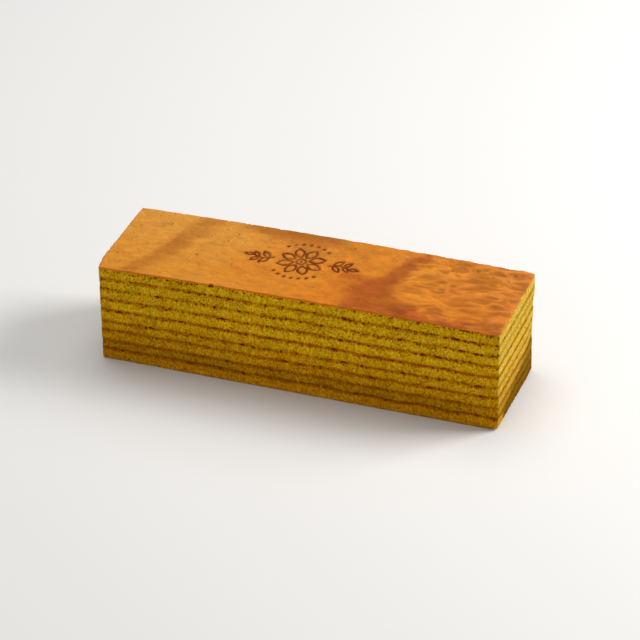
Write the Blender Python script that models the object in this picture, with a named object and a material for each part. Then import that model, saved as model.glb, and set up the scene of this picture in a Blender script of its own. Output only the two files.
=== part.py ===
"""A bar of layered pandan butter cake, cut on all four sides and lying on its base.

Nine sponge layers were poured and browned one after the other, so the cut sides show
their browned tops as shallow grooves. X runs along the bar, the front looks to -Y, Z is
up, and the origin is the middle of the base. All sizes are in metres.
"""

import math
import random

import bmesh
import bpy

LENGTH = 0.2012
WIDTH = 0.0579
MIDDLE_HEIGHT = 0.0534
# The top isn't level: the right end and the back stand higher, and both ends droop.
LENGTH_RISE = 0.0024
WIDTH_RISE = 0.0013
END_DROOP = 0.0010
# The left end's foot is set in under its top. The end is cut askew, further out at the front,
# and is worn back at its front corner.
LEFT_END_LEAN = 0.0013
LEFT_END_SKEW = 0.0025
LEFT_CORNER_WEAR = 0.0018
LEFT_WEAR_REACH = 0.013
LEFT_END_REACH = 0.030

# Where each browned line lies, as a share of the bar's height: left end, middle, right end.
LINE_SHARES = (
    (0.119, 0.115, 0.114),
    (0.212, 0.213, 0.220),
    (0.326, 0.318, 0.327),
    (0.420, 0.418, 0.431),
    (0.547, 0.538, 0.540),
    (0.665, 0.655, 0.657),
    (0.777, 0.768, 0.764),
    (0.885, 0.880, 0.874),
)
LAYER_COUNT = len(LINE_SHARES) + 1
LAYER_GAP = 0.0003
# Close to the right end the base and the lines curve up: how far each rises, from the base up.
RIGHT_RISES = (0.0008, 0.0011, 0.0011, 0.0010, 0.0011, 0.0011, 0.0009, 0.0008, 0.0002)
RIGHT_RISE_REACH = 0.012

# The lines wave a little, and the lowest one most of all towards the right end.
LINE_WAVE = 0.00018
LONG_WAVE = 0.066
SHORT_WAVE = 0.026
SHORT_WAVE_SHARE = 0.6
LOWEST_WAVE = 0.0006
LONG_WAVE_PHASE = math.radians(100)
WAVE_DRIFT = 0.35

# Each layer stands a little proud of the next or behind it, and is drawn in at the lines.
LAYER_SLIP = 0.00025
GROOVE_DEPTH = 0.0003
GROOVE_REACH = 0.0010
TOP_EDGE_ROUND = 0.0007
FOOT_ROUND = 0.0008

# Radius of each upright corner by its end and side: the back right one is worn rounder.
CORNER_RADII = {(-1, -1): 0.0010, (-1, 1): 0.0010, (1, -1): 0.0008, (1, 1): 0.0020}
CORNER_STATION = max(CORNER_RADII.values())

COLUMNS = 36
ROWS = 6
RING_STEPS = 3

LOWEST_SPONGE = (0.215, 0.122, 0.006)
HIGHEST_SPONGE = (0.342, 0.238, 0.012)
BROWNED_TOP = (0.620, 0.215, 0.035)
SPONGE_ROUGHNESS = 0.85
BROWNED_ROUGHNESS = 0.42

RANDOM_SEED = 9


def clear_scene():
    """Remove the objects that a new file starts with."""
    for item in list(bpy.data.objects):
        bpy.data.objects.remove(item, do_unlink=True)


def make_material(name, colour, roughness):
    """A Principled material of one colour."""
    material = bpy.data.materials.new(name)
    material.use_nodes = True
    shader = material.node_tree.nodes["Principled BSDF"]
    shader.inputs["Base Color"].default_value = (*colour, 1.0)
    shader.inputs["Roughness"].default_value = roughness
    shader.inputs["Metallic"].default_value = 0.0
    material.diffuse_color = (*colour, 1.0)
    return material


def blend_colours(low, high, share):
    """The colour that lies a share of the way from low to high."""
    return tuple(a + (b - a) * share for a, b in zip(low, high))


def top_height(x, y):
    """Height of the bar's top: a sloping plane whose two ends droop."""
    along = x / LENGTH
    across = y / WIDTH
    slope = LENGTH_RISE * along + WIDTH_RISE * across
    return MIDDLE_HEIGHT + slope - END_DROOP * (2 * along) ** 2


def line_share(line, x):
    """Share of the height at which a browned line lies, on a curve through its three values."""
    left, middle, right = LINE_SHARES[line - 1]
    along = x / LENGTH
    curve = 2 * (left + right - 2 * middle)
    return middle + (right - left) * along + curve * along ** 2


def line_wave(line, x, y, phase):
    """Rise or fall of a browned line from its even course."""
    drift = WAVE_DRIFT * y
    long_wave = math.sin(math.tau * (x + drift) / LONG_WAVE + LONG_WAVE_PHASE)
    short_wave = math.sin(math.tau * (x - drift) / SHORT_WAVE + phase)
    if line == 1:
        towards_right = 0.5 + x / LENGTH
        return LINE_WAVE * long_wave + LOWEST_WAVE * towards_right * short_wave
    return LINE_WAVE * (long_wave + SHORT_WAVE_SHARE * short_wave)


def right_rise(line, x):
    """Rise of the base or of a browned line close to the right end."""
    nearness = max(0.0, 1 + (x - LENGTH / 2) / RIGHT_RISE_REACH)
    return RIGHT_RISES[line] * nearness ** 2


def line_height(line, x, y, phases):
    """Height of line 0, the base, of a browned line, or of the last line, the top."""
    if line == LAYER_COUNT:
        return top_height(x, y)
    if line == 0:
        return right_rise(line, x)
    level = line_share(line, x) * top_height(x, y) + right_rise(line, x)
    return level + line_wave(line, x, y, phases[line - 1])


def left_end_shift(x, y, height):
    """Shift of a point towards the right: all of it at the left end, and none past its reach."""
    nearness = max(0.0, 1 - (x + LENGTH / 2) / LEFT_END_REACH)
    lean = LEFT_END_LEAN * (1 - height / MIDDLE_HEIGHT)
    askew = LEFT_END_SKEW * y / WIDTH
    corner = max(0.0, 1 - (y + WIDTH / 2) / LEFT_WEAR_REACH)
    return nearness * (lean + askew + LEFT_CORNER_WEAR * corner ** 2)


def station(index, count, length):
    """Place of a grid line: the outer ones leave room for the rounded corners."""
    if index in (0, count):
        return math.copysign(length / 2, index - count / 2)
    spread = length - 2 * CORNER_STATION
    return spread * ((index - 1) / (count - 2) - 0.5)


def make_slab():
    """A closed slab of grid cells: a flat grid that is drawn up ring by ring."""
    slab = bmesh.new()
    bmesh.ops.create_grid(slab, x_segments=COLUMNS, y_segments=ROWS, size=0.5)
    upper = slab.verts[:] + slab.edges[:] + slab.faces[:]
    for _ in range(RING_STEPS):
        upper = bmesh.ops.extrude_face_region(slab, geom=upper)["geom"]
        lifted = [item for item in upper if isinstance(item, bmesh.types.BMVert)]
        bmesh.ops.translate(slab, verts=lifted, vec=(0, 0, 1))
    bmesh.ops.recalc_face_normals(slab, faces=slab.faces)
    return slab


def layer_rings(layer):
    """The line that each ring of a layer is measured from, its rise from it and its inset."""
    lower = (layer - 1, LAYER_GAP / 2, GROOVE_REACH, GROOVE_DEPTH)
    upper = (layer, LAYER_GAP / 2, GROOVE_REACH, GROOVE_DEPTH)
    if layer == 1:
        lower = (0, 0.0, FOOT_ROUND, FOOT_ROUND)
    if layer == LAYER_COUNT:
        upper = (LAYER_COUNT, 0.0, TOP_EDGE_ROUND, TOP_EDGE_ROUND)
    low_line, low_gap, low_reach, low_inset = lower
    high_line, high_gap, high_reach, high_inset = upper
    return (
        (low_line, low_gap, low_inset),
        (low_line, low_reach, 0.0),
        (high_line, -high_reach, 0.0),
        (high_line, -high_gap, high_inset),
    )


def place_layer(slab, layer, phases, slips):
    """Move a slab's vertices to the places that they have in one layer."""
    rings = layer_rings(layer)
    for vertex in slab.verts:
        column = round((vertex.co.x + 0.5) * COLUMNS)
        row = round((vertex.co.y + 0.5) * ROWS)
        line, rise, inset = rings[round(vertex.co.z)]
        x = station(column, COLUMNS, LENGTH)
        y = station(row, ROWS, WIDTH)
        end = (column == COLUMNS) - (column == 0)
        side = (row == ROWS) - (row == 0)
        if end and side:
            inset += CORNER_RADII[end, side] * (1 - math.sqrt(0.5))
        if end:
            x -= end * (inset + slips[end, 0])
        if side:
            y -= side * (inset + slips[0, side])
        height = line_height(line, x, y, phases)
        x += left_end_shift(x, y, height)
        vertex.co = (x, y, height + rise)


def make_layer(layer, phases, dice, browned):
    """One sponge layer that runs through the whole bar, as an object of its own."""
    faces_out = ((-1, 0), (1, 0), (0, -1), (0, 1))
    slips = {way: dice.uniform(0.0, LAYER_SLIP) for way in faces_out}
    slab = make_slab()
    place_layer(slab, layer, phases, slips)
    mesh = bpy.data.meshes.new(f"sponge_layer_{layer}")
    share = (layer - 1) / (LAYER_COUNT - 1)
    colour = blend_colours(LOWEST_SPONGE, HIGHEST_SPONGE, share)
    mesh.materials.append(make_material(f"sponge_{layer}", colour, SPONGE_ROUGHNESS))
    if layer == LAYER_COUNT:
        mesh.materials.append(browned)
        for face in slab.faces:
            face.material_index = int(face.normal.z > 0.5)
    slab.to_mesh(mesh)
    slab.free()
    item = bpy.data.objects.new(mesh.name, mesh)
    bpy.context.scene.collection.objects.link(item)
    return item


def centre_on_base(items):
    """Shift all layers alike, so that the origin is the middle of the base."""
    corners = [vertex.co for item in items for vertex in item.data.vertices]
    middle_x = (min(c.x for c in corners) + max(c.x for c in corners)) / 2
    middle_y = (min(c.y for c in corners) + max(c.y for c in corners)) / 2
    for item in items:
        for vertex in item.data.vertices:
            vertex.co.x -= middle_x
            vertex.co.y -= middle_y


def build_cake():
    """Build the nine layers, from the base up."""
    clear_scene()
    dice = random.Random(RANDOM_SEED)
    phases = [dice.uniform(0, math.tau) for _ in LINE_SHARES]
    browned = make_material("browned_top", BROWNED_TOP, BROWNED_ROUGHNESS)
    layers = [
        make_layer(layer, phases, dice, browned)
        for layer in range(1, LAYER_COUNT + 1)
    ]
    centre_on_base(layers)


build_cake()
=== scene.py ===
"""Looks of a bar of layered pandan butter cake: cut crumb, browned lines and baked top skin.

It is laid out as an add-on and runs as a script. Each sponge layer becomes a piece with a
fine crumb relief and open pits along its browned lines, and the browned top becomes a thin
skin with ripples, pinholes and a burnt ornament. All sizes are in metres.
"""

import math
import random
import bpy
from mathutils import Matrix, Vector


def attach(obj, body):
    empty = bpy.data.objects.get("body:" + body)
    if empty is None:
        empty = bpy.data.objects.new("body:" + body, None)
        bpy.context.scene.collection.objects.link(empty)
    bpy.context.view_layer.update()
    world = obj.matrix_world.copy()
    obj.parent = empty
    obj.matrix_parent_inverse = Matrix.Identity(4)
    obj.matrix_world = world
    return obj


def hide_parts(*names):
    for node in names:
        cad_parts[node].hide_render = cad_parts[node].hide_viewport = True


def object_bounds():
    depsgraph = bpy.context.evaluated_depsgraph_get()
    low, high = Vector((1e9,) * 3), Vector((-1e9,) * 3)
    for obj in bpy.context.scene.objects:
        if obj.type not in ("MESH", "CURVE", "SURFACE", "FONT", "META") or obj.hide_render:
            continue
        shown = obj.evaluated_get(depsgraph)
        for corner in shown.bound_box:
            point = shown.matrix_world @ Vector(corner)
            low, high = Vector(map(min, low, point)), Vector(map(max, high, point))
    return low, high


bl_info = {
    "name": "Layered Butter Cake Bar",
    "version": (1, 0, 0),
    "blender": (4, 5, 0),
    "location": "View3D > Sidebar > Cake",
    "description": "Cut crumb, browned lines and a baked top skin for a bar of layered butter cake",
    "category": "Add Mesh",
}

from collections import namedtuple

import bmesh
import bpy
from mathutils import Vector, kdtree, noise

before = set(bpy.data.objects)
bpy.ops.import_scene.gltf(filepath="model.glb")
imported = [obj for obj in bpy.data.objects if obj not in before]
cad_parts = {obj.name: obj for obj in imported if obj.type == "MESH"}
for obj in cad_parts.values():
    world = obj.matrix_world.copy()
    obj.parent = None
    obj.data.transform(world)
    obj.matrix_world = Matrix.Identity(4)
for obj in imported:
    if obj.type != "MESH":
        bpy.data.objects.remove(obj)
FRAME_LOW, FRAME_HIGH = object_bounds()
BODY = "root"
MM = 0.001

# Form of the bar, the same as that of its solids.
LENGTH = 0.2012
WIDTH = 0.0579
MIDDLE_HEIGHT = 0.0534
LENGTH_RISE = 0.0024
WIDTH_RISE = 0.0013
END_DROOP = 0.0010
LEFT_END_LEAN = 0.0013
LEFT_END_SKEW = 0.0025
LEFT_CORNER_WEAR = 0.0018
LEFT_WEAR_REACH = 0.013
LEFT_END_REACH = 0.030
LINE_SHARES = (
    (0.119, 0.115, 0.114),
    (0.212, 0.213, 0.220),
    (0.326, 0.318, 0.327),
    (0.420, 0.418, 0.431),
    (0.547, 0.538, 0.540),
    (0.665, 0.655, 0.657),
    (0.777, 0.768, 0.764),
    (0.885, 0.880, 0.874),
)
LAYER_COUNT = len(LINE_SHARES) + 1
RIGHT_RISES = (0.0008, 0.0011, 0.0011, 0.0010, 0.0011, 0.0011, 0.0009, 0.0008, 0.0002)
RIGHT_RISE_REACH = 0.012
LINE_WAVE = 0.00018
LONG_WAVE = 0.066
SHORT_WAVE = 0.026
SHORT_WAVE_SHARE = 0.6
LOWEST_WAVE = 0.0006
LONG_WAVE_PHASE = math.radians(100)
WAVE_DRIFT = 0.35
LAYER_SLIP = 0.00025
GROOVE_DEPTH = 0.0003
GROOVE_REACH = 0.0010
FOOT_ROUND = 0.0008
CORNER_RADII = {(-1, -1): 0.0010, (-1, 1): 0.0010, (1, -1): 0.0008, (1, 1): 0.0020}
RANDOM_SEED = 9

# The solids' own draws, repeated in their order: the waves' phases, then each layer's slips.
form_dice = random.Random(RANDOM_SEED)
WAVE_PHASES = [form_dice.uniform(0, math.tau) for _ in LINE_SHARES]
WAYS_OUT = ((-1, 0), (1, 0), (0, -1), (0, 1))
LAYER_SLIPS = [
    {way: form_dice.uniform(0.0, LAYER_SLIP) for way in WAYS_OUT} for _ in range(LAYER_COUNT)
]
# The solids were shifted so that their box is centred.
MIDDLE_X = LENGTH / 2 - min(slips[1, 0] for slips in LAYER_SLIPS) - FRAME_HIGH.x
MIDDLE_Y = WIDTH / 2 - min(slips[0, 1] for slips in LAYER_SLIPS) - FRAME_HIGH.y

# Mesh of a layer: large cells inside, and walls of cells about 0.36 mm wide.
CELLS_LONG = 92
CELLS_WIDE = 26
RIM_CUTS = 6
WALL_ROWS = 16
SKIN_ROWS = 3
ON_RIM = 0.5 - 1e-5
MERGE_DISTANCE = 0.0002
VISIBLE_GAP = 0.00002
BOX_MARGIN = 0.00001
FAR_MM = 9.0
# The browned lines look soft, so their grooves are drawn in less than those of the solids.
GROOVE_SHARE = 0.15
FOOT_ROUND_SHARE = 0.6
# Wear of the right end's back corner: its middle height, its reach up and down, its reach to
# the sides and its depth.
BACK_CORNER_WEAR = (0.020, 0.026, 0.012, 0.0007)
# Noise above these levels is cut into the crumb as fine relief and as broad hollows.
RELIEF_FROM = 0.38
HOLLOW_FROM = 0.4
HOLLOW_SIZE = 0.004
HOLLOW_HEIGHT = 0.003
# Light and dark of the layers from the base up: the second is the brownest.
LAYER_TONES = (1.02, 0.79, 0.96, 1.01, 1.02, 1.03, 0.98, 0.97, 0.99)
# How strongly each line is browned at the left and the right, from the lowest line up. The last
# one is the underside of the skin.
LINE_TONES = (
    (0.86, 0.98), (0.84, 0.80), (0.86, 0.90), (0.72, 0.78), (0.88, 1.20),
    (0.80, 0.86), (0.58, 0.64), (0.66, 0.74), (0.15, 0.15),
)
LINE_TONE_REACH = 0.080
# Strength of the lines in all and on the ends, and how much paler the crumb is halfway along.
LINE_STRENGTH = 0.9
END_LINE_GAIN = 1.10
MIDDLE_TONE = 0.08
MIDDLE_REACH = 0.065

Pit = namedtuple("Pit", "along rise half_length half_height depth")
PitKind = namedtuple("PitKind", "spacing half_length half_height depth drop")
PORES = PitKind(0.0014, (0.0003, 0.0005), (0.0003, 0.0005), (0.0003, 0.0006), (-0.0005, 0.0015))
HOLES = PitKind(0.0100, (0.0004, 0.0008), (0.0004, 0.0006), (0.0006, 0.0009), (-0.0001, 0.0008))
CAVES = PitKind(0.0520, (0.0011, 0.0017), (0.0005, 0.0007), (0.0009, 0.0011), (0.0, 0.0004))
PIT_BIN = 0.004
PIT_SEED = 31
PIT_RAGGEDNESS = 0.5
# From this depth a pit is painted fully dark, a painted shade inside it.
DARK_PIT_DEPTH = 0.0006
# Where a pit's wall rises and where its colour fades, as shares of its size.
PIT_WALL = (0.35, 1.05)
PIT_FADE = (0.7, 1.3)
# Share of pits along each browned line, and the last one under the top skin.
PIT_SHARES = (0.35, 0.25, 0.4, 0.8, 0.8, 1.0, 0.9, 1.0, 0.8)
END_PIT_SHARE = 0.35

# The widest holes of the front: line, place along the bar and half length, in millimetres.
FRONT_CAVES = (
    (9, -43.0, 1.6), (9, -71.0, 0.7), (9, 8.0, 0.8), (9, 61.0, 1.0),
    (8, -33.8, 1.0), (8, 24.4, 1.5), (8, 79.6, 1.8), (8, 87.9, 1.2),
    (7, -69.7, 0.9), (7, -41.0, 0.9), (7, 52.0, 0.9), (7, 92.0, 1.0),
    (6, -36.9, 1.7), (6, 22.4, 1.2), (6, 63.0, 1.4), (6, 70.7, 2.2),
    (5, -90.5, 1.3), (5, -58.5, 1.2), (5, -41.0, 1.2), (5, -12.8, 1.9),
    (4, -73.8, 1.2), (4, -27.0, 1.2), (4, 23.4, 1.2), (4, 53.6, 1.2), (4, 90.5, 2.0),
    (3, -5.7, 1.9), (3, 2.0, 1.2), (3, 66.6, 2.0), (3, 92.0, 1.2),
    (1, -54.0, 2.0), (1, -26.5, 1.0), (1, 30.0, 1.4), (1, 90.0, 1.5),
)

# Top skin: its thickness and least thickness, its rounded edge, and its ragged rim.
SKIN_THICKNESS = 0.0010
SKIN_LEAST = 0.00015
SKIN_EDGE_ROUND = 0.0004
SKIN_RAG = 0.00040
SKIN_RAG_REACH = 0.002
SKIN_RAG_FROM = 0.42
# Notch in the front edge: its place along the bar, its half length and its depth.
EDGE_NOTCH = (-0.043, 0.0013, 0.0011)
PINHOLE_SEED = 12
PINHOLE_COUNT = 26
PINHOLE_RADII = (0.00030, 0.00055)
BLISTER_COUNT = 46
BLISTER_RADII_MM = (0.55, 1.0)
BLISTER_SIZES = (0.3, 0.7)
# The pinholes and the cratered bubbles that stand out: place on the top, in millimetres.
SEEN_PINHOLES = ((-52.0, 20.7), (-40.0, -8.4), (-58.8, -4.7), (-95.7, -13.6), (-70.0, -25.0))
CRATERS = ((73.8, 21.8, 1.5), (92.0, 23.3, 1.4), (-80.0, 18.0, 0.9), (12.0, 22.0, 0.9))
CRATER_RIM = 0.00030
CRATER_HOLLOW = 0.00045
# Place and spread of a crater's rim, as shares of its radius.
CRATER_RIM_PLACE = (1.2, 0.35)
SURFACE_REST = 0.00012
LEAST_DROP = 0.00002
# Height of the lip beside a burnt stroke. The lip's place and spread, and the sides of the
# stroke's bed, are shares of the stroke's width.
STROKE_LIP = 0.00010
STROKE_LIP_PLACE = (1.05, 0.3)
STROKE_BED = (0.35, 0.85)
# The right part lies in folds: where they begin along the bar, and how that line slants.
FOLDS_FROM = (0.028, 0.052)
FOLD_START_SLANT = 0.3
FOLD_SLANT = 0.10
FOLD_WARP = 1.1
CREST_SHARPNESS = 2.2
CREST_STRENGTH = 1.6
CREST_SHARE = 0.65
BROAD_SHARE = 0.35
MEAN_FOLD = 0.85
# A dimple begins where its noise is above a level, and is full where it is this much above.
DIMPLE_FROM = 0.6
DIMPLE_RISE = 0.2
# Noises of the top: size along the bar, size across it and seed.
SWELL_NOISE = (0.030, 0.022, 0.3)
DIMPLE_NOISE = (0.0026, 0.0017, 9.3)
FOLD_NOISE = (0.0085, 0.0034, 1.7)
FOLD_WARP_NOISE = (0.016, 0.010, 5.0)
FOLD_STRENGTH_NOISE = (0.012, 0.009, 8.8)
FOLD_BROAD_NOISE = (0.011, 0.0042, 6.2)
RAG_NOISES = ((0.0013, 0.0013, 7.0), (0.005, 0.005, 3.0))

# Darker streaks on the top, in millimetres: start, end, the two widths, strength. The diagonal
# band at the left and the reddish band right of the middle are painted shadows, the rest darker
# browning.
DULL_BROWNING_AND_SHADOWS = (
    ((-60, 30), (-70, 3), 7.0, 6.5, 0.60),
    ((-70, 3), (-84, -26), 6.5, 5.5, 0.60),
    ((-40, 28), (2, 28), 6.0, 8.0, 0.95),
    ((-14, 24), (-4, 12), 10.0, 8.0, 0.50),
    ((2, 26), (20, 20), 7.0, 6.0, 0.45),
)
RED_BROWNING_AND_SHADOWS = (
    ((46, 29), (43, 16), 4.0, 4.6, 0.85),
    ((43, 16), (38, 2), 4.6, 6.5, 0.75),
    ((17, -2), (36, -4), 4.5, 6.0, 0.65),
    ((36, 0), (29, -12), 7.0, 10.0, 0.70),
    ((30, -12), (28, -25), 10.0, 10.5, 0.68),
    ((38, -11), (48, -20), 5.0, 6.0, 0.55),
    ((30, -23), (57, -24), 7.0, 6.0, 0.74),
    ((50, -27), (79, -27), 7.0, 6.0, 0.85),
    ((79, -28), (100, -28), 4.5, 3.5, 0.36),
    ((94, -12), (90, -24), 4.0, 5.0, 0.12),
    ((-24, 23), (-2, 23), 7.0, 7.0, 0.32),
    ((12, -10), (24, -12), 5.0, 6.0, 0.30),
    ((34, 23), (68, 25), 5.0, 4.0, 0.18),
    ((44, -3), (76, 1), 3.5, 3.5, 0.30),
)

# Burnt ornament: a rosette between two leaf sprigs, with dots over and under it.
ORNAMENT_MIDDLE = (-0.0088, 0.0036)
PETALS = 8
PETAL_FOOT = 0.0038
PETAL_LENGTH = 0.0078
PETAL_BREADTH = 0.0046
HEART_RADIUS = 0.0023
SPRIG_START = 0.0138
SPRIG_LENGTH = 0.0100
SPRIG_ARCH = 0.0018
SPRIG_STEPS = 14
LEAF_PAIRS = 2
LEAF_LENGTH = 0.0066
LEAF_BREADTH = 0.0028
LEAF_SLANT = math.radians(50)
LEAF_STEPS = 12
TIP_LEAF_SIZE = 0.7
DOT_RING = 0.0152
DOTS = 7
DOT_STEP = math.radians(14)
DOT_RADIUS = 0.0003
STROKE_POINT_STEP = 0.00015
STROKE_REACH = 0.004

# Noises of the crumb: scale, detail, stretch and weight. The first one is also its relief.
EVEN = (1.0, 1.0, 1.0)
CRUMB_NOISES = (
    (1000, 3.0, (1.0, 1.0, 0.70), 2.2),
    (2000, 2.0, EVEN, 1.6),
    (650, 1.0, (1.0, 1.0, 0.22), 0.4),
    (110, 2.0, EVEN, 0.6),
)
# The ends' crumb is more even, and has a painted shadow under a line that rises towards the
# back. The upper browned lines are redder than the lower ones.
END_CONTRAST = 0.5
END_SHADE_SLOPE = -0.31
END_SHADE_LEVELS = (0.0093, 0.0165)
END_SHADE_FROM = (-0.0245, -0.0165)
HIGH_LINES_FROM = (0.014, 0.030)
# Near the foot of the ends most of the blue of the painted sheen is taken out again.
FOOT_SHEEN_CUT = (1.0, 1.0, 0.3)
# The front and the back edge of the top, between which its browning changes.
SKIN_SIDES = (-0.027, 0.027)
ROUGHNESS_SWING = 0.06

# Camera, from the photograph's angle: the bar is seen from the front, a little from the right.
IMAGE_WIDTH = 640
FOCAL_PIXELS = 4981
SENSOR_WIDTH = 36.0
CAMERA_AZIMUTH = math.radians(19.09)
CAMERA_ELEVATION = math.radians(31.82)
CAMERA_DISTANCE = 2.3807
CAMERA_ASIDE = 0.00193
CAMERA_BELOW = 0.00198
AIM_HEIGHT = 0.0265
# Soft lights: name, place, size and the setting that gives the power.
LIGHT_COLOUR = (1.0, 0.98, 0.95)
LIGHTS = (
    ("key_right", (0.88, 0.50, 0.72), 0.6, "key_power"),
    ("soft_top", (-0.2, 0.3, 1.2), 1.0, "top_power"),
    ("fill_front", (-0.4, -1.3, 0.5), 0.9, "front_power"),
)


def smooth_step(low, high, value):
    """0 below low and 1 above high, with a soft passage between them."""
    share = min(1.0, max(0.0, (value - low) / (high - low)))
    return share * share * (3 - 2 * share)


def unit_noise(x, y, z):
    """Smooth noise between about 0 and 1."""
    return 0.5 + 0.5 * noise.noise(Vector((x, y, z)))


def top_noise(kind, x, y):
    """One of the noises of the top."""
    along, across, seed = kind
    return unit_noise(x / along, y / across, seed)


def way_at(angle):
    """The level direction at an angle."""
    return Vector((math.cos(angle), math.sin(angle)))


def random_place(dice):
    """A place drawn on the top."""
    return dice.uniform(-LENGTH / 2, LENGTH / 2), dice.uniform(-WIDTH / 2, WIDTH / 2)


def top_height(x, y):
    """Height of the bar's top: a sloping plane whose two ends droop."""
    along = x / LENGTH
    across = y / WIDTH
    slope = LENGTH_RISE * along + WIDTH_RISE * across
    return MIDDLE_HEIGHT + slope - END_DROOP * (2 * along) ** 2


def line_share(line, x):
    """Share of the height at which a browned line lies, on a curve through its three values."""
    left, middle, right = LINE_SHARES[line - 1]
    along = x / LENGTH
    curve = 2 * (left + right - 2 * middle)
    return middle + (right - left) * along + curve * along ** 2


def line_wave(line, x, y):
    """Rise or fall of a browned line from its even course."""
    drift = WAVE_DRIFT * y
    long_wave = math.sin(math.tau * (x + drift) / LONG_WAVE + LONG_WAVE_PHASE)
    short_wave = math.sin(math.tau * (x - drift) / SHORT_WAVE + WAVE_PHASES[line - 1])
    if line == 1:
        towards_right = 0.5 + x / LENGTH
        return LINE_WAVE * long_wave + LOWEST_WAVE * towards_right * short_wave
    return LINE_WAVE * (long_wave + SHORT_WAVE_SHARE * short_wave)


def right_rise(line, x):
    """Rise of the base or of a browned line close to the right end."""
    nearness = max(0.0, 1 + (x - LENGTH / 2) / RIGHT_RISE_REACH)
    return RIGHT_RISES[line] * nearness ** 2


def line_height(line, x, y):
    """Height of the base, of a browned line, or of the underside of the top skin."""
    if line == LAYER_COUNT:
        return top_height(x, y) - SKIN_THICKNESS
    if line == 0:
        return right_rise(line, x)
    return line_share(line, x) * top_height(x, y) + right_rise(line, x) + line_wave(line, x, y)


def left_end_shift(x, y, height):
    """Shift of a point towards the right: all of it at the left end, and none past its reach."""
    nearness = max(0.0, 1 - (x + LENGTH / 2) / LEFT_END_REACH)
    lean = LEFT_END_LEAN * (1 - height / MIDDLE_HEIGHT)
    askew = LEFT_END_SKEW * y / WIDTH
    corner = max(0.0, 1 - (y + WIDTH / 2) / LEFT_WEAR_REACH)
    return nearness * (lean + askew + LEFT_CORNER_WEAR * corner ** 2)


def plan_point(x, y, slips):
    """A point of the plain rectangle carried into the rounded plan, and the way out there."""
    end = int(math.copysign(1, x))
    side = int(math.copysign(1, y))
    from_edge = min(LENGTH / 2 - abs(x), WIDTH / 2 - abs(y))
    radius = max(0.0, CORNER_RADII[end, side] - from_edge)
    core_x = min(abs(x), LENGTH / 2 - from_edge - radius)
    core_y = min(abs(y), WIDTH / 2 - from_edge - radius)
    way = Vector((abs(x) - core_x, abs(y) - core_y))
    if way.length < 1e-9:
        way = Vector((1, 0)) if LENGTH / 2 - abs(x) < WIDTH / 2 - abs(y) else Vector((0, 1))
    way.normalize()
    slip_x = slips[end, 0] * 2 * abs(x) / LENGTH
    slip_y = slips[0, side] * 2 * abs(y) / WIDTH
    place_x = end * (core_x + radius * way.x - slip_x)
    place_y = side * (core_y + radius * way.y - slip_y)
    return place_x, place_y, end * way.x, side * way.y


def inside_box(x, y, height):
    """A place, drawn back where it would leave the solids' box."""
    low = FRAME_LOW + Vector((BOX_MARGIN, BOX_MARGIN, 0))
    high = FRAME_HIGH - Vector((BOX_MARGIN, BOX_MARGIN, BOX_MARGIN))
    place = (x, y, height)
    return Vector(min(b, max(a, value)) for a, b, value in zip(low, high, place))


def girth_place(x, y):
    """Distance round the bar from its front left corner to a point of its walls."""
    if y <= -WIDTH / 2 + 1e-6:
        return x + LENGTH / 2
    if x >= LENGTH / 2 - 1e-6:
        return LENGTH + y + WIDTH / 2
    if y >= WIDTH / 2 - 1e-6:
        return LENGTH + WIDTH + LENGTH / 2 - x
    return 2 * LENGTH + WIDTH + WIDTH / 2 - y


def add_sheet(slab, cells_long, cells_wide, cuts, height):
    """Add a flat sheet of cells at a height, with its rim cut finer than its cells."""
    grid = bmesh.ops.create_grid(slab, x_segments=cells_long, y_segments=cells_wide, size=0.5)
    bmesh.ops.translate(slab, verts=grid["verts"], vec=(0, 0, height))
    own = set(grid["verts"])
    rim = [edge for edge in slab.edges if edge.is_boundary and own.issuperset(edge.verts)]
    if cuts > 1:
        bmesh.ops.subdivide_edges(
            slab, edges=rim, cuts=cuts - 1, use_single_edge=True, quad_corner_type="FAN"
        )


def make_slab(rows, fine_top):
    """A closed slab, one unit square: a flat base, fine walls and a flat top."""
    slab = bmesh.new()
    add_sheet(slab, CELLS_LONG, CELLS_WIDE, RIM_CUTS, 0)
    rim = [edge for edge in slab.edges if edge.is_boundary]
    for _ in range(rows):
        grown = bmesh.ops.extrude_edge_only(slab, edges=rim)["geom"]
        lifted = [item for item in grown if isinstance(item, bmesh.types.BMVert)]
        bmesh.ops.translate(slab, verts=lifted, vec=(0, 0, 1))
        rim = [item for item in grown if isinstance(item, bmesh.types.BMEdge) and item.is_boundary]
    if fine_top:
        add_sheet(slab, CELLS_LONG * RIM_CUTS, CELLS_WIDE * RIM_CUTS, 1, rows)
    else:
        add_sheet(slab, CELLS_LONG, CELLS_WIDE, RIM_CUTS, rows)
    bmesh.ops.remove_doubles(slab, verts=slab.verts, dist=MERGE_DISTANCE)
    bmesh.ops.recalc_face_normals(slab, faces=slab.faces)
    return slab


def add_attributes(slab, *names):
    """Float attributes of the vertices, for the materials to read."""
    return [slab.verts.layers.float.new(name) for name in names]


def finish_piece(slab, name, materials, nodes):
    """Turn a bmesh into a smooth object that rides on the bar and stands for its solids."""
    mesh = bpy.data.meshes.new(name)
    slab.to_mesh(mesh)
    slab.free()
    mesh.shade_smooth()
    for material in materials:
        mesh.materials.append(material)
    piece = bpy.data.objects.new(name, mesh)
    bpy.context.scene.collection.objects.link(piece)
    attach(piece, BODY)
    if nodes:
        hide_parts(*nodes)
    return piece


def draw_pit(dice, kind, along):
    """One pit of a kind, at a place round the bar."""
    return Pit(
        along,
        -dice.uniform(*kind.drop),
        dice.uniform(*kind.half_length),
        dice.uniform(*kind.half_height),
        dice.uniform(*kind.depth),
    )


def on_long_side(along):
    """Whether a place round the bar is on its front or back."""
    return along < LENGTH or LENGTH + WIDTH < along < 2 * LENGTH + WIDTH


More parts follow.
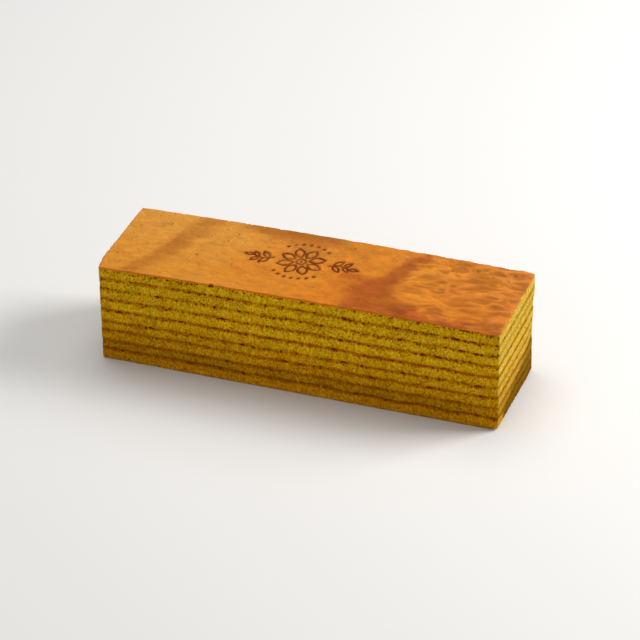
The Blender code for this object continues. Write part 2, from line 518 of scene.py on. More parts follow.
def scatter_pits():
    """The pits along each line, sorted into bins round the bar."""
    dice = random.Random(PIT_SEED)
    girth = 2 * (LENGTH + WIDTH)
    rows = []
    for line, share in enumerate(PIT_SHARES, start=1):
        pits = []
        for kind in (PORES, HOLES, CAVES):
            for _ in range(round(share * girth / kind.spacing)):
                pit = draw_pit(dice, kind, dice.uniform(0, girth))
                kept = dice.random() < END_PIT_SHARE
                on_front = pit.along < LENGTH
                if kept or (on_long_side(pit.along) and not (kind is CAVES and on_front)):
                    pits.append(pit)
        for cave_line, place, half_length in FRONT_CAVES:
            if cave_line == line:
                pit = draw_pit(dice, CAVES, LENGTH / 2 + place * MM)
                pits.append(pit._replace(half_length=half_length * MM))
        bins = {}
        for pit in pits:
            bins.setdefault(int(pit.along / PIT_BIN), []).append(pit)
        rows.append(bins)
    return rows


def pit_at(bins, along, rise, grain):
    """Depth and darkness of the pits of one line at a place on the wall."""
    depth = 0.0
    shade = 0.0
    index = int(along / PIT_BIN)
    for pit in bins.get(index - 1, []) + bins.get(index, []) + bins.get(index + 1, []):
        beside = (along - pit.along) / pit.half_length
        above = (rise - pit.rise) / pit.half_height
        reach = math.hypot(beside, above) + PIT_RAGGEDNESS * (grain - 0.5)
        if reach < PIT_FADE[1]:
            depth = max(depth, pit.depth * (1 - smooth_step(*PIT_WALL, reach)))
            dark = min(1.0, pit.depth / DARK_PIT_DEPTH)
            shade = max(shade, (1 - smooth_step(*PIT_FADE, reach)) * dark)
    return depth, shade


def worn_back_corner(x, y, height):
    """Depth of the wear of the upright corner at the back of the right end."""
    middle, upright_reach, reach, depth = BACK_CORNER_WEAR
    from_corner = math.hypot(LENGTH / 2 - x, WIDTH / 2 - y)
    if from_corner > reach:
        return 0.0
    level = (height - middle) / upright_reach
    return depth * (1 - smooth_step(0.3, 1.0, from_corner / reach)) * max(0.0, 1 - level ** 2)


def place_layer(slab, layer, pits, look):
    """Shape a slab into one layer with its crumb, its grooves and its pits."""
    below, above, shade, end_face, tone, line_tone = add_attributes(
        slab, "below_line_mm", "above_line_mm", "pit", "end_face", "tone", "line_tone"
    )
    slips = LAYER_SLIPS[layer - 1]
    for vertex in slab.verts:
        x = vertex.co.x * LENGTH
        y = vertex.co.y * WIDTH
        low = line_height(layer - 1, x, y)
        high = line_height(layer, x, y)
        low_gap = 0.0 if layer == 1 else VISIBLE_GAP / 2
        share = vertex.co.z / WALL_ROWS
        height = low + low_gap + (high - low - low_gap - VISIBLE_GAP / 2) * share
        under = high - height
        over = height - low
        place_x, place_y, out_x, out_y = plan_point(x, y, slips)
        if max(abs(vertex.co.x), abs(vertex.co.y)) > ON_RIM:
            along = girth_place(x, y)
            grain = unit_noise(place_x / look.grain, place_y / look.grain, height / look.grain)
            # Most of the cut lies at the solids' faces, and the crumb's hollows are cut into it.
            sink = look.relief * max(0.0, grain - RELIEF_FROM) * 2
            hollow = unit_noise(x / HOLLOW_SIZE, y / HOLLOW_SIZE, height / HOLLOW_HEIGHT + layer)
            sink += look.unevenness * max(0.0, hollow - HOLLOW_FROM) * 2
            sink += worn_back_corner(x, y, height)
            nearest = min(under, over) if layer > 1 else under
            groove = GROOVE_SHARE * GROOVE_DEPTH
            sink += groove * (1 - smooth_step(0, GROOVE_REACH, nearest))
            if layer == 1:
                sink += FOOT_ROUND * (1 - smooth_step(0, FOOT_ROUND, over)) * FOOT_ROUND_SHARE
            depth, dark = pit_at(pits[layer - 1], along, -under, grain)
            if layer > 1:
                low_depth, low_dark = pit_at(pits[layer - 2], along, over, grain)
                depth = max(depth, low_depth)
                dark = max(dark, low_dark)
            sink += depth
            place_x -= out_x * sink
            place_y -= out_y * sink
            vertex[shade] = dark
            vertex[end_face] = abs(out_x)
        vertex[below] = under / MM
        vertex[above] = over / MM if layer > 1 else FAR_MM
        paler = MIDDLE_TONE * max(0.0, 1 - (x / MIDDLE_REACH) ** 2)
        vertex[tone] = LAYER_TONES[layer - 1] * (1 + paler)
        left, right = LINE_TONES[layer - 1 if share > 0.5 else layer - 2]
        to_right = smooth_step(-LINE_TONE_REACH, LINE_TONE_REACH, x)
        vertex[line_tone] = left + (right - left) * to_right
        shift = left_end_shift(x, y, height)
        vertex.co = inside_box(place_x + shift - MIDDLE_X, place_y - MIDDLE_Y, height)


def pointed_leaf(start, heading, length, breadth):
    """Outline of a pointed leaf or petal, out along one side and back along the other."""
    ahead = way_at(heading)
    aside = Vector((-ahead.y, ahead.x))
    shares = [step / LEAF_STEPS for step in range(LEAF_STEPS + 1)]
    return [
        start + ahead * length * t + aside * side * breadth / 2 * math.sin(math.pi * t)
        for side, row in ((1, shares), (-1, shares[::-1]))
        for t in row
    ]


def ring(middle, radius, steps=20):
    """A closed circle of points."""
    return [middle + radius * way_at(math.tau * step / steps) for step in range(steps + 1)]


def rosette_strokes(middle):
    """Petals round a small heart, with dots over and under them."""
    strokes = [ring(middle, HEART_RADIUS), ring(middle, DOT_RADIUS)]
    for petal in range(PETALS):
        heading = math.tau * (petal + 0.5) / PETALS
        foot = middle + PETAL_FOOT * way_at(heading)
        strokes.append(pointed_leaf(foot, heading, PETAL_LENGTH, PETAL_BREADTH))
    for side in (1, -1):
        for dot in range(DOTS):
            angle = side * math.pi / 2 + (dot - (DOTS - 1) / 2) * DOT_STEP
            strokes.append(ring(middle + DOT_RING * way_at(angle), DOT_RADIUS, 8))
    return strokes


def sprig_strokes(middle, side):
    """A stem that leads away from the rosette, with leaves in pairs and one at its tip."""
    def stem_point(share):
        reach = SPRIG_START + SPRIG_LENGTH * share
        arch = SPRIG_ARCH * math.sin(math.pi * share)
        return middle + Vector((side * reach, side * arch))

    def leaf(share, heading, size):
        return pointed_leaf(stem_point(share), heading, LEAF_LENGTH * size, LEAF_BREADTH * size)

    out = 0.0 if side > 0 else math.pi
    strokes = [[stem_point(step / SPRIG_STEPS) for step in range(SPRIG_STEPS + 1)]]
    for pair in range(LEAF_PAIRS):
        share = (pair + 0.4) / LEAF_PAIRS
        strokes.extend(leaf(share, out + way * LEAF_SLANT, 1 - 0.35 * share) for way in (1, -1))
    strokes.append(leaf(1, out, TIP_LEAF_SIZE))
    return strokes


def stroke_tree():
    """All strokes of the ornament as close points, for finding how far a place is from them."""
    middle = Vector(ORNAMENT_MIDDLE)
    strokes = rosette_strokes(middle) + sprig_strokes(middle, 1) + sprig_strokes(middle, -1)
    points = []
    for stroke in strokes:
        for a, b in zip(stroke, stroke[1:]):
            steps = max(1, math.ceil((b - a).length / STROKE_POINT_STEP))
            points.extend(a.lerp(b, step / steps) for step in range(steps))
        points.append(stroke[-1])
    tree = kdtree.KDTree(len(points))
    for index, point in enumerate(points):
        tree.insert((point.x, point.y, 0.0), index)
    tree.balance()
    reach = max((point - middle).length for point in points) + STROKE_REACH
    return tree, reach


def draw_pinholes():
    """Place and radius of each pinhole: the seen ones, and more all over."""
    dice = random.Random(PINHOLE_SEED)
    holes = [(x * MM, y * MM, PINHOLE_RADII[1]) for x, y in SEEN_PINHOLES]
    for _ in range(PINHOLE_COUNT):
        holes.append((*random_place(dice), dice.uniform(*PINHOLE_RADII)))
    return holes


def pinhole_at(holes, x, y):
    """How far a place lies inside a pinhole, from 0 outside to 1 in its middle."""
    found = 0.0
    for hole_x, hole_y, radius in holes:
        if abs(x - hole_x) < 2 * radius and abs(y - hole_y) < 2 * radius:
            reach = math.hypot(x - hole_x, y - hole_y) / radius
            found = max(found, 1 - smooth_step(0.3, 1.3, reach))
    return found


def draw_craters():
    """Place, radius and size of the burst bubbles: the seen ones, and small ones all over."""
    dice = random.Random(PINHOLE_SEED + 1)
    craters = [(x * MM, y * MM, radius * MM, 1.0) for x, y, radius in CRATERS]
    for _ in range(BLISTER_COUNT):
        x, y = random_place(dice)
        radius = dice.uniform(*BLISTER_RADII_MM) * MM
        craters.append((x, y, radius, dice.uniform(*BLISTER_SIZES)))
    return craters


def crater_at(craters, x, y):
    """Rise of the burst bubbles, a raised rim round a hollow, and how far a place is inside."""
    rise = 0.0
    inside = 0.0
    rim_place, rim_spread = CRATER_RIM_PLACE
    for middle_x, middle_y, radius, size in craters:
        reach = math.hypot(x - middle_x, y - middle_y) / radius
        if reach < 3:
            rim = math.exp(-((reach - rim_place) / rim_spread) ** 2)
            hollow = 1 - smooth_step(0.2, 0.9, reach)
            rise += size * (CRATER_RIM * rim - CRATER_HOLLOW * hollow)
            inside = max(inside, size * (1 - smooth_step(0.2, 0.8, reach)))
    return rise, inside


def fold_height(x, y):
    """Height of the cloth-like folds of the right part, and how far a place lies in them."""
    folded = smooth_step(*FOLDS_FROM, x + FOLD_START_SLANT * y)
    slanted = y - FOLD_SLANT * x
    warp = FOLD_WARP * top_noise(FOLD_WARP_NOISE, x, y)
    along, across, seed = FOLD_NOISE
    swing = 2 * unit_noise(x / along + warp, slanted / across + warp, seed) - 1
    strength = top_noise(FOLD_STRENGTH_NOISE, x, y)
    crest = (1 - min(1.0, abs(swing) * CREST_SHARPNESS)) * strength * CREST_STRENGTH
    broad = smooth_step(0.25, 0.75, top_noise(FOLD_BROAD_NOISE, x, slanted))
    return folded * min(1.0, CREST_SHARE * crest + BROAD_SHARE * broad), folded


def skin_drop(x, y, fold, folded, look):
    """Depth of the skin's surface under the highest that it may reach."""
    swell = look.swell * top_noise(SWELL_NOISE, x, y)
    linen = unit_noise(x / 0.0042 + y / 0.003, y / 0.0014, 2.2)
    dimple = max(0.0, top_noise(DIMPLE_NOISE, x, y) - DIMPLE_FROM) / DIMPLE_RISE
    depth = SURFACE_REST + swell + look.linen * linen + look.dimple * min(1.0, dimple)
    depth += look.ripple * (MEAN_FOLD * folded - fold)
    return min(max(depth, 0.0), SKIN_THICKNESS - SKIN_LEAST)


def rim_rag(x, y, from_edge):
    """How far the ragged rim and the notch of the front edge are drawn in."""
    rag = 0.0
    for kind in RAG_NOISES:
        rag += SKIN_RAG * max(0.0, top_noise(kind, x, y) - SKIN_RAG_FROM) * 2
    place, half_length, depth = EDGE_NOTCH
    reach = math.hypot((x - place) / half_length, (y + WIDTH / 2) / depth)
    rag += depth * max(0.0, 1 - reach ** 2)
    return rag * max(0.0, 1 - from_edge / SKIN_RAG_REACH)


def place_skin(slab, look, burn):
    """Shape a slab into the top skin, with its ripples, pinholes and ornament."""
    stroke, pinhole, rim, folding = add_attributes(slab, "stroke_mm", "pinhole", "rim_mm", "fold")
    tree, reach = stroke_tree()
    holes = draw_pinholes()
    craters = draw_craters()
    slips = LAYER_SLIPS[-1]
    for vertex in slab.verts:
        x = vertex.co.x * LENGTH
        y = vertex.co.y * WIDTH
        from_edge = min(LENGTH / 2 - abs(x), WIDTH / 2 - abs(y))
        place_x, place_y, out_x, out_y = plan_point(x, y, slips)
        top = top_height(x, y)
        under = top - SKIN_THICKNESS + VISIBLE_GAP / 2
        on_top = vertex.co.z > SKIN_ROWS - 0.5
        on_rim = max(abs(vertex.co.x), abs(vertex.co.y)) > ON_RIM
        height = under
        vertex[stroke] = FAR_MM
        if on_top or on_rim:
            rag = rim_rag(x, y, from_edge)
            place_x -= out_x * rag
            place_y -= out_y * rag
            hole = pinhole_at(holes, x, y)
            rise, inside = crater_at(craters, x, y)
            fold, folded = fold_height(x, y)
            drop = skin_drop(x, y, fold, folded, look) + look.pinhole_depth * hole - rise
            middle = ORNAMENT_MIDDLE
            if on_top and math.hypot(x - middle[0], y - middle[1]) < reach:
                distance = tree.find((x, y, 0.0))[2]
                bed = (burn.width * share for share in STROKE_BED)
                pressed = 1 - smooth_step(*bed, distance)
                lip_place, lip_spread = STROKE_LIP_PLACE
                lip = math.exp(-((distance / burn.width - lip_place) / lip_spread) ** 2)
                drop += burn.depth * pressed - STROKE_LIP * lip
                vertex[stroke] = distance / MM
            curve = max(0.0, 1 - from_edge / SKIN_EDGE_ROUND)
            drop += SKIN_EDGE_ROUND * (1 - math.sqrt(max(0.0, 1 - curve ** 2)))
            surface = top - min(max(drop, LEAST_DROP), SKIN_THICKNESS - SKIN_LEAST / 2)
            height = under + (surface - under) * vertex.co.z / SKIN_ROWS
            vertex[folding] = fold
            vertex[pinhole] = max(hole, inside)
        vertex[rim] = from_edge / MM if on_top else -1.0
        shift = left_end_shift(x, y, height)
        vertex.co = inside_box(place_x + shift - MIDDLE_X, place_y - MIDDLE_Y, height)


class Nodes:
    """A node tree, with a short way to add each kind of node that the looks need."""

    def __init__(self, tree):
        self.tree = tree

    def fill(self, node, inputs):
        """Fill a node's inputs with values or with other sockets."""
        for name, value in inputs.items():
            socket = node.inputs[name]
            if isinstance(value, bpy.types.NodeSocket):
                self.tree.links.new(value, socket)
            elif socket.type == "RGBA":
                socket.default_value = (*value[:3], 1.0)
            else:
                socket.default_value = value
        return node

    def new(self, kind, inputs, **settings):
        """Add a node with its settings and its inputs."""
        node = self.tree.nodes.new(kind)
        for name, value in settings.items():
            setattr(node, name, value)
        return self.fill(node, inputs)

    def use(self, group, inputs):
        """Outputs of a node group, used with its own values."""
        return self.new("ShaderNodeGroup", inputs, node_tree=group).outputs

    def give(self, results):
        """End a group: hand its results to its output sockets."""
        self.fill(self.tree.nodes.new("NodeGroupOutput"), results)
        return self.tree

    def surface(self, inputs):
        """Fill the inputs of a material's Principled shader."""
        self.fill(self.tree.nodes["Principled BSDF"], inputs)

    def math(self, operation, first, second=0.0, clamp=False):
        """A Math node's result."""
        inputs = {0: first, 1: second}
        return self.new("ShaderNodeMath", inputs, operation=operation, use_clamp=clamp).outputs[0]

    def product(self, result, *factors):
        """Numbers multiplied in their order."""
        for factor in factors:
            result = self.math("MULTIPLY", result, factor)
        return result

    def total(self, result, *terms):
        """Numbers added in their order."""
        for term in terms:
            result = self.math("ADD", result, term)
        return result

    def swing(self, value, size):
        """A noise's value, made to swing about 0."""
        return self.product(self.math("SUBTRACT", value, 0.5), size)

    def vector_math(self, operation, first, second=(0, 0, 0)):
        """A Vector Math node's outputs."""
        return self.new("ShaderNodeVectorMath", {0: first, 1: second}, operation=operation).outputs

    def scaled(self, vector, factor):
        """A vector or a colour times a number."""
        inputs = {0: vector, "Scale": factor}
        return self.new("ShaderNodeVectorMath", inputs, operation="SCALE").outputs[0]

    def gain(self, colour, red, green, blue):
        """A colour with a gain for each of its channels."""
        gains = self.new("ShaderNodeCombineXYZ", {0: red, 1: green, 2: blue}).outputs[0]
        return self.vector_math("MULTIPLY", colour, gains)[0]

    def soft_range(self, value, low, high, start=0.0, end=1.0):
        """A smooth passage from start to end as value goes from low to high."""
        inputs = {"Value": value, "From Min": low, "From Max": high, "To Min": start, "To Max": end}
        node = self.new("ShaderNodeMapRange", inputs, interpolation_type="SMOOTHSTEP")
        return node.outputs["Result"]

    def mix(self, share, first, second, blend="MIX"):
        """A Mix node's colour."""
        inputs = {0: share, 6: first, 7: second}
        return self.new("ShaderNodeMix", inputs, data_type="RGBA", blend_type=blend).outputs[2]

    def noise(self, place, scale, detail=2.0, stretch=EVEN):
        """Noise that reads a place, stretched along an axis where its factor is below 1."""
        mapped = self.new("ShaderNodeMapping", {"Vector": place, "Scale": stretch}).outputs[0]
        inputs = {"Vector": mapped, "Scale": scale, "Detail": detail, "Roughness": 0.55}
        return self.new("ShaderNodeTexNoise", inputs).outputs["Fac"]

    def axes(self, place):
        """The X, Y and Z of a place."""
        return self.new("ShaderNodeSeparateXYZ", {0: place}).outputs

    def attribute(self, name):
        """Value of a float attribute of the mesh."""
        settings = {"attribute_name": name, "attribute_type": "GEOMETRY"}
        return self.new("ShaderNodeAttribute", {}, **settings).outputs["Fac"]

    def bump(self, height, distance):
        """Fine relief from a height, in metres of distance."""
        inputs = {"Height": height, "Distance": distance, "Strength": 1.0}
        return self.new("ShaderNodeBump", inputs).outputs["Normal"]


FLOAT = "NodeSocketFloat"
COLOUR = "NodeSocketColor"
VECTOR = "NodeSocketVector"


def new_group(name, inputs, outputs):
    """A shader node group with named sockets, and what is given to it."""
    group = bpy.data.node_groups.new(name, "ShaderNodeTree")
    for label, kind, default in inputs:
        socket = group.interface.new_socket(name=label, in_out="INPUT", socket_type=kind)
        socket.default_value = default
    for label, kind in outputs:
        group.interface.new_socket(name=label, in_out="OUTPUT", socket_type=kind)
    return Nodes(group), group.nodes.new("NodeGroupInput").outputs


def new_material(name):
    """A material with its nodes and the place on the piece."""
    material = bpy.data.materials.new(name)
    material.use_nodes = True
    nodes = Nodes(material.node_tree)
    return material, nodes, nodes.new("ShaderNodeTexCoord", {}).outputs["Object"]


def crumb_group():
    """Open cake crumb: its colour by height in the bar, dark pores and the relief of its grain."""
    nodes, given = new_group(
        "Cake crumb",
        (
            ("Place", VECTOR, (0, 0, 0)),
            ("Low colour", COLOUR, (0.2, 0.1, 0.01, 1)),
            ("High colour", COLOUR, (0.4, 0.2, 0.01, 1)),
            ("Pore colour", COLOUR, (0.1, 0.04, 0.002, 1)),
            ("Bar height", FLOAT, MIDDLE_HEIGHT),
            ("Contrast", FLOAT, 0.4),
        ),
        (("Colour", COLOUR), ("Height", FLOAT)),
    )
    place = given["Place"]
    # The crumb is darker towards the base: partly the longer-baked lower layers, partly painted
    # shade.
    share = nodes.math("DIVIDE", nodes.axes(place)["Z"], given["Bar height"], clamp=True)
    share = nodes.soft_range(share, 0.0, 0.75)
    base = nodes.mix(share, given["Low colour"], given["High colour"])

    textures = [nodes.noise(place, *kind) for *kind, _ in CRUMB_NOISES]
    light = 0.0
    for texture, (*_, weight) in zip(textures, CRUMB_NOISES):
        light = nodes.total(nodes.swing(texture, weight), light)
    gain = nodes.total(nodes.product(light, given["Contrast"]), 1.0)
    gain = nodes.math("MAXIMUM", gain, 0.2)
    # Darker crumb is browner, paler crumb is less saturated, and some patches are greener.
    green = nodes.total(nodes.swing(nodes.noise(place, 430), 0.55), 1.0)
    green = nodes.product(nodes.math("POWER", gain, 1.2), green)
    shaded = nodes.gain(base, gain, green, nodes.math("POWER", gain, 3.0))

    # The crumb's pores are painted dark, a painted shade in them.
    cells = nodes.new("ShaderNodeTexVoronoi", {"Vector": place, "Scale": 900})
    pick = nodes.math("GREATER_THAN", nodes.noise(place, 260, 1.0), 0.52)
    pore = nodes.soft_range(cells.outputs["Distance"], 0.12, 0.34, 1.0, 0.0)
    pore = nodes.product(pore, pick)
    colour = nodes.mix(nodes.product(pore, 0.75), shaded, given["Pore colour"])
    return nodes.give({"Colour": colour, "Height": nodes.math("SUBTRACT", textures[0], pore)})


def line_group():
    """Browned line: strongest where two layers meet, and uneven along its edges."""
    nodes, given = new_group(
        "Browned line",
        (
            ("Place", VECTOR, (0, 0, 0)),
            ("Below mm", FLOAT, FAR_MM),
            ("Above mm", FLOAT, FAR_MM),
            ("Width mm", FLOAT, 1.4),
            ("Strength", FLOAT, 0.8),
        ),
        (("Mask", FLOAT),),
    )
    place = given["Place"]
    wobble = nodes.swing(nodes.noise(place, 420), 1.2)

    def side_mask(distance, reach):
        outer = nodes.product(given["Width mm"], reach)
        inner = nodes.product(outer, 0.1)
        return nodes.soft_range(nodes.total(distance, wobble), inner, outer, 1.0, 0.0)

    # The browning fades further into the layer under the line than into the one on it.
    under = side_mask(given["Below mm"], 1.35)
    over = side_mask(given["Above mm"], 1.20)
    patchy = nodes.soft_range(nodes.noise(place, 190), 0.3, 0.62, 0.75, 1.0)
    mask = nodes.product(nodes.math("MAXIMUM", under, over), patchy, given["Strength"])
    return nodes.give({"Mask": mask})


def streak_group():
    """A soft darker streak between two points of the top, uneven at its edges."""
    nodes, given = new_group(
        "Browned streak",
        (
            ("Place", VECTOR, (0, 0, 0)),
            ("Start", VECTOR, (0, 0, 0)),
            ("End", VECTOR, (1, 0, 0)),
            ("Start width", FLOAT, 0.004),
            ("End width", FLOAT, 0.004),
            ("Strength", FLOAT, 1.0),
        ),
        (("Mask", FLOAT),),
    )
    start, start_width = given["Start"], given["Start width"]
    flat = nodes.vector_math("MULTIPLY", given["Place"], (1, 1, 0))[0]
    warp = nodes.new("ShaderNodeTexNoise", {"Vector": flat, "Scale": 90, "Detail": 3.0})
    warp = nodes.vector_math("SUBTRACT", warp.outputs["Color"], (0.5, 0.5, 0.5))[0]
    place = nodes.vector_math("ADD", flat, nodes.scaled(warp, 0.012))[0]
    from_start = nodes.vector_math("SUBTRACT", place, start)[0]
    run = nodes.vector_math("SUBTRACT", given["End"], start)[0]
    along = nodes.vector_math("DOT_PRODUCT", from_start, run)["Value"]
    whole = nodes.vector_math("DOT_PRODUCT", run, run)["Value"]
    share = nodes.math("DIVIDE", along, whole, clamp=True)
    aside = nodes.vector_math("SUBTRACT", from_start, nodes.scaled(run, share))[0]
    spread = nodes.math("SUBTRACT", given["End width"], start_width)
    width = nodes.total(nodes.product(spread, share), start_width)
    reach = nodes.math("DIVIDE", nodes.vector_math("LENGTH", aside)["Value"], width)
    mask = nodes.product(nodes.soft_range(reach, 0.25, 1.25, 1.0, 0.0), given["Strength"])
    return nodes.give({"Mask": mask})


def sponge_material(name, look, crumb_nodes, line_nodes):
    """Cut crumb with its browned lines and dark pits."""
    material, nodes, place = new_material(name)
    axes = nodes.axes(place)
    end_face = nodes.attribute("end_face")
    crumb = nodes.use(crumb_nodes, {
        "Place": place,
        "Low colour": look.low_colour,
        "High colour": look.high_colour,
        "Pore colour": look.pit_shade_colour,
        "Contrast": nodes.soft_range(
            end_face, 0.0, 1.0, look.contrast, look.contrast * END_CONTRAST
        ),
    })
    toned = nodes.scaled(crumb["Colour"], nodes.attribute("tone"))
    # The ends are painted paler and bluer than the long sides, a painted sheen of the light from
    # the right, and a painted shadow darkens them towards the foot at the back.
    pale = nodes.mix(end_face, toned, nodes.vector_math("MULTIPLY", toned, look.end_gain)[0])
    wavy = nodes.swing(nodes.noise(place, 130, 3.0), 0.012)
    lift = nodes.total(axes["Z"], nodes.product(axes["Y"], END_SHADE_SLOPE), wavy)
    foot = nodes.product(
        nodes.soft_range(lift, *END_SHADE_LEVELS, 1.0, 0.0),
        end_face,
        nodes.soft_range(axes["Y"], *END_SHADE_FROM),
        nodes.soft_range(axes["Z"], 0.0040, 0.0075, 1.0, 0.7),
    )
    # Near the foot of the ends most of the blue of the painted sheen is taken out again.
    unsheened_foot = nodes.product(nodes.soft_range(axes["Z"], 0.003, 0.016, 1.0, 0.0), end_face)
    colour = nodes.mix(foot, pale, look.end_shade_tint, "MULTIPLY")
    colour = nodes.mix(unsheened_foot, colour, FOOT_SHEEN_CUT, "MULTIPLY")
    end_gain = nodes.soft_range(end_face, 0.0, 1.0, 1.0, END_LINE_GAIN)
    line = nodes.use(line_nodes, {
        "Place": place,
        "Below mm": nodes.attribute("below_line_mm"),
        "Above mm": nodes.attribute("above_line_mm"),
        "Width mm": look.line_width / MM,
        "Strength": nodes.product(nodes.attribute("line_tone"), LINE_STRENGTH, end_gain),
    })
    # The upper lines are browned redder than the lower ones.
    upper = nodes.soft_range(axes["Z"], *HIGH_LINES_FROM)
    tint = nodes.mix(upper, look.line_tint, look.high_line_tint)
    tint = nodes.mix(end_face, tint, look.end_line_tint)
    colour = nodes.mix(line["Mask"], colour, tint, "MULTIPLY")
    # Pits are painted darker the deeper they are: shallow ones reddish brown, deep ones dark. It is
    # mostly painted shade inside them, with some real browning of their walls along the lines.
    pit = nodes.attribute("pit")
    for shallow, deep, tint in ((0.0, 0.6, look.pore_colour), (0.4, 1.0, look.pit_shade_colour)):
        colour = nodes.mix(nodes.soft_range(pit, shallow, deep, 0.0, 0.9), colour, tint)
    nodes.surface({
        "Base Color": colour,
        "Roughness": 0.9,
        "Specular IOR Level": 0.02,
        "Normal": nodes.bump(crumb["Height"], 0.00022),
    })
    return material


def base_material(look):
    """The underside: an even, browned, slightly greasy base."""
    material, nodes, place = new_material("baked_base")
    nodes.surface({
        "Base Color": nodes.mix(nodes.noise(place, 160, 4.0), look.base_colour, look.low_colour),
        "Roughness": 0.6,
        "Normal": nodes.bump(nodes.noise(place, 900, 3.0), 0.0001),
    })
    return material


def skin_material(look, burn, streak):
    """Baked top skin: uneven browning from tan to reddish brown with painted shadows and sheen, and
    the burnt strokes.
    """
    material, nodes, place = new_material("baked_skin")
    axes = nodes.axes(place)
    along = nodes.total(axes["X"], nodes.swing(nodes.noise(place, 28, 3.0), 0.09))
    colour = nodes.mix(nodes.soft_range(along, -0.070, 0.015), look.tan, look.amber)
    colour = nodes.mix(nodes.soft_range(along, 0.030, 0.070), colour, look.orange)
    # Darker streaks: some are painted shadows, the rest darker browning.
    for streaks, tint in ((DULL_BROWNING_AND_SHADOWS, look.umber), (RED_BROWNING_AND_SHADOWS, look.russet)):
        for start, end, start_width, end_width, strength in streaks:
            mask = nodes.use(streak, {
                "Place": place,
                "Start": (start[0] * MM, start[1] * MM, 0),
                "End": (end[0] * MM, end[1] * MM, 0),
                "Start width": start_width * MM,
                "End width": end_width * MM,
                "Strength": strength,
            })["Mask"]
            colour = nodes.mix(mask, colour, tint)

    # The crests of the folds are painted paler than their valleys: painted light and shade on the
    # folds, with some real difference in browning.
    fold = nodes.attribute("fold")
    folded = nodes.soft_range(axes["X"], *FOLDS_FROM)
    crest = nodes.soft_range(fold, 0.05, 0.75, 0.74, 1.15)
    mottle = nodes.noise(place, 210, 4.0, (0.55, 1.0, 1.0))
    grain = nodes.noise(place, 1300)
    patches = nodes.noise(place, 330, 2.0, (0.6, 1.0, 1.0))
    gain = nodes.product(
        nodes.soft_range(mottle, 0.25, 0.75, 1 - look.mottle, 1 + look.mottle),
        nodes.soft_range(grain, 0.2, 0.8, 0.94, 1.06),
        nodes.new("ShaderNodeMix", {0: folded, 2: 1.0, 3: crest}).outputs[0],
        nodes.soft_range(patches, 0.25, 0.75, 0.93, 1.07),
    )
    # A painted sheen: towards the back, at the right end and on the crests of the folds the skin is
    # painted bluer and a little greener, so the front looks a purer orange.
    skin_sheen_blue = nodes.product(
        nodes.soft_range(axes["Y"], *SKIN_SIDES, 0.70, 1.30),
        nodes.soft_range(axes["X"], 0.082, 0.101, 1.0, 1.6),
        nodes.soft_range(fold, 0.3, 0.85, 1.0, 1.7),
    )
    skin_sheen_green = nodes.product(
        nodes.soft_range(axes["Y"], *SKIN_SIDES, 0.95, 1.04),
        nodes.soft_range(fold, 0.2, 0.85, 1.0, 1.10),
    )
    colour = nodes.gain(colour, gain, nodes.product(gain, skin_sheen_green), nodes.product(gain, skin_sheen_blue))
    # The rim is darker than the skin beside it, and paler again down the cut.
    rim_mm = nodes.attribute("rim_mm")
    edge = nodes.scaled(look.rim, nodes.soft_range(rim_mm, -0.8, -0.1, 1.90, 1.0))
    colour = nodes.mix(nodes.soft_range(rim_mm, 0.0, 0.7, 0.85, 0.0), colour, edge)
    pinhole = nodes.product(nodes.attribute("pinhole"), 0.8)
    colour = nodes.mix(pinhole, colour, look.hole_colour)

    half_width = burn.width / MM / 2
    ragged = nodes.swing(nodes.noise(place, 900, 3.0), 0.5)
    stroke = nodes.total(nodes.attribute("stroke_mm"), ragged)
    halo = nodes.soft_range(stroke, half_width, half_width * 3.4, burn.halo, 0.0)
    colour = nodes.mix(halo, colour, look.russet)
    char = nodes.product(
        nodes.soft_range(stroke, half_width * 0.7, half_width * 1.3, 1.0, 0.0),
        nodes.soft_range(nodes.noise(place, 150, 3.0), 0.3, 0.6, 0.55, 1.0),
    )
    roughest = look.roughness + ROUGHNESS_SWING
    smoothest = look.roughness - ROUGHNESS_SWING
    nodes.surface({
        "Base Color": nodes.mix(char, colour, burn.colour),
        "Roughness": nodes.soft_range(mottle, 0.3, 0.7, roughest, smoothest),
        "Specular IOR Level": nodes.soft_range(char, 0.0, 1.0, look.gloss, look.gloss * 0.2),
        "Normal": nodes.bump(nodes.total(nodes.noise(place, 1500, 3.0), mottle), 0.00012),
    })
    return material


def place_light(name, place, size, energy):
    """A soft square light that faces the middle of the bar."""
    light = bpy.data.lights.new(name, "AREA")
    light.shape = "SQUARE"
    light.size = size
    light.energy = energy
    light.color = LIGHT_COLOUR
    lamp = bpy.data.objects.new(name, light)
    lamp.location = place
    lamp.rotation_mode = "QUATERNION"
    way = Vector(place) - Vector((0, 0, AIM_HEIGHT))
    lamp.rotation_quaternion = way.to_track_quat("Z", "Y")
    bpy.context.scene.collection.objects.link(lamp)


def place_camera():
    """The camera at the photograph's angle and distance."""
    data = bpy.data.cameras.new("photo_view")
    data.sensor_width = SENSOR_WIDTH
    data.lens = FOCAL_PIXELS / IMAGE_WIDTH * SENSOR_WIDTH
    camera = bpy.data.objects.new("photo_view", data)
    level = math.cos(CAMERA_ELEVATION)
    back = Vector((
        math.sin(CAMERA_AZIMUTH) * level,
        -math.cos(CAMERA_AZIMUTH) * level,
        math.sin(CAMERA_ELEVATION),
    ))
    right = Vector((0, 0, 1)).cross(back).normalized()
    up = back.cross(right)
    aim = Vector((-MIDDLE_X, -MIDDLE_Y, AIM_HEIGHT))
    camera.location = aim + back * CAMERA_DISTANCE + right * CAMERA_ASIDE - up * CAMERA_BELOW
    camera.rotation_mode = "QUATERNION"
    camera.rotation_quaternion = back.to_track_quat("Z", "Y")
    bpy.context.scene.collection.objects.link(camera)
    bpy.context.scene.camera = camera


